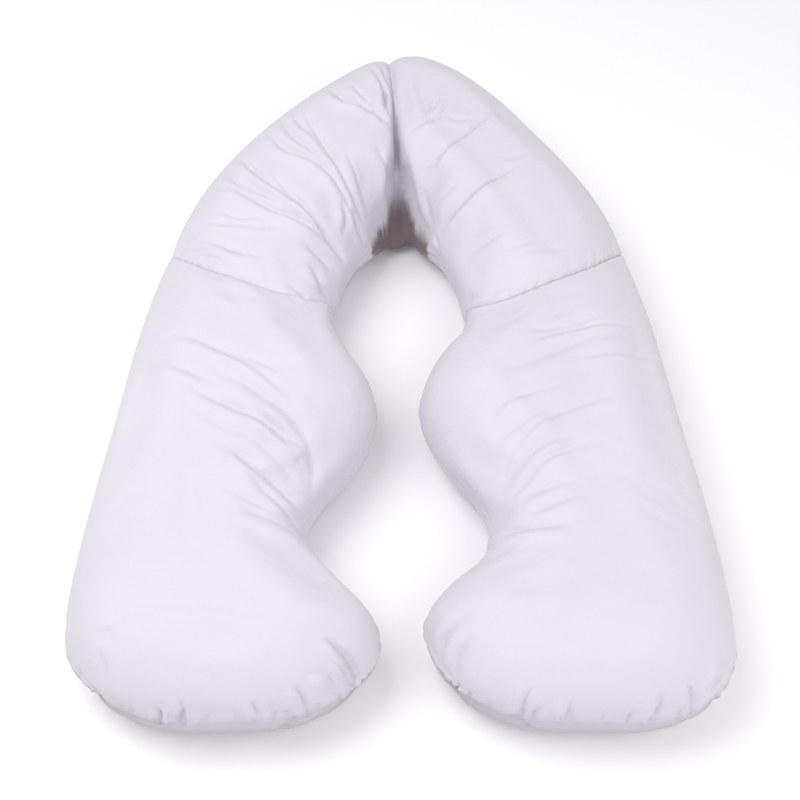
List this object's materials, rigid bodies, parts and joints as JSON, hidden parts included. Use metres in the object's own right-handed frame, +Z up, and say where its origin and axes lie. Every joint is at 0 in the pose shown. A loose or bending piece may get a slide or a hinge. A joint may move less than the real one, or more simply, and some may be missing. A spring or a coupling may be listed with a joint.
{
  "type": "pregnancy pillow",
  "caption": "Full-body pregnancy pillow lying flat: a head tube folded sharply at the crown and contoured arms with belly lobes, knee waists and rounded feet, in white cotton.",
  "frame": {"origin": "under the middle of the pillow's bounding box, on the surface that it lies on", "axes": "+Z up from the surface, +Y towards the folded crown and away from the feet, +X across the two arms from the left one to the right one"},
  "size_m": [0.9666, 1.4416, 0.2126],
  "materials": {
    "head_section": "matte white plain-woven cotton with a faint cool cast",
    "left_arm": "matte white plain-woven cotton with a faint cool cast",
    "right_arm": "matte white plain-woven cotton with a faint cool cast"
  },
  "bodies": {
    "root": {"head_section": "head_section", "left_arm": "left_arm", "right_arm": "right_arm"}
  },
  "joints": []
}
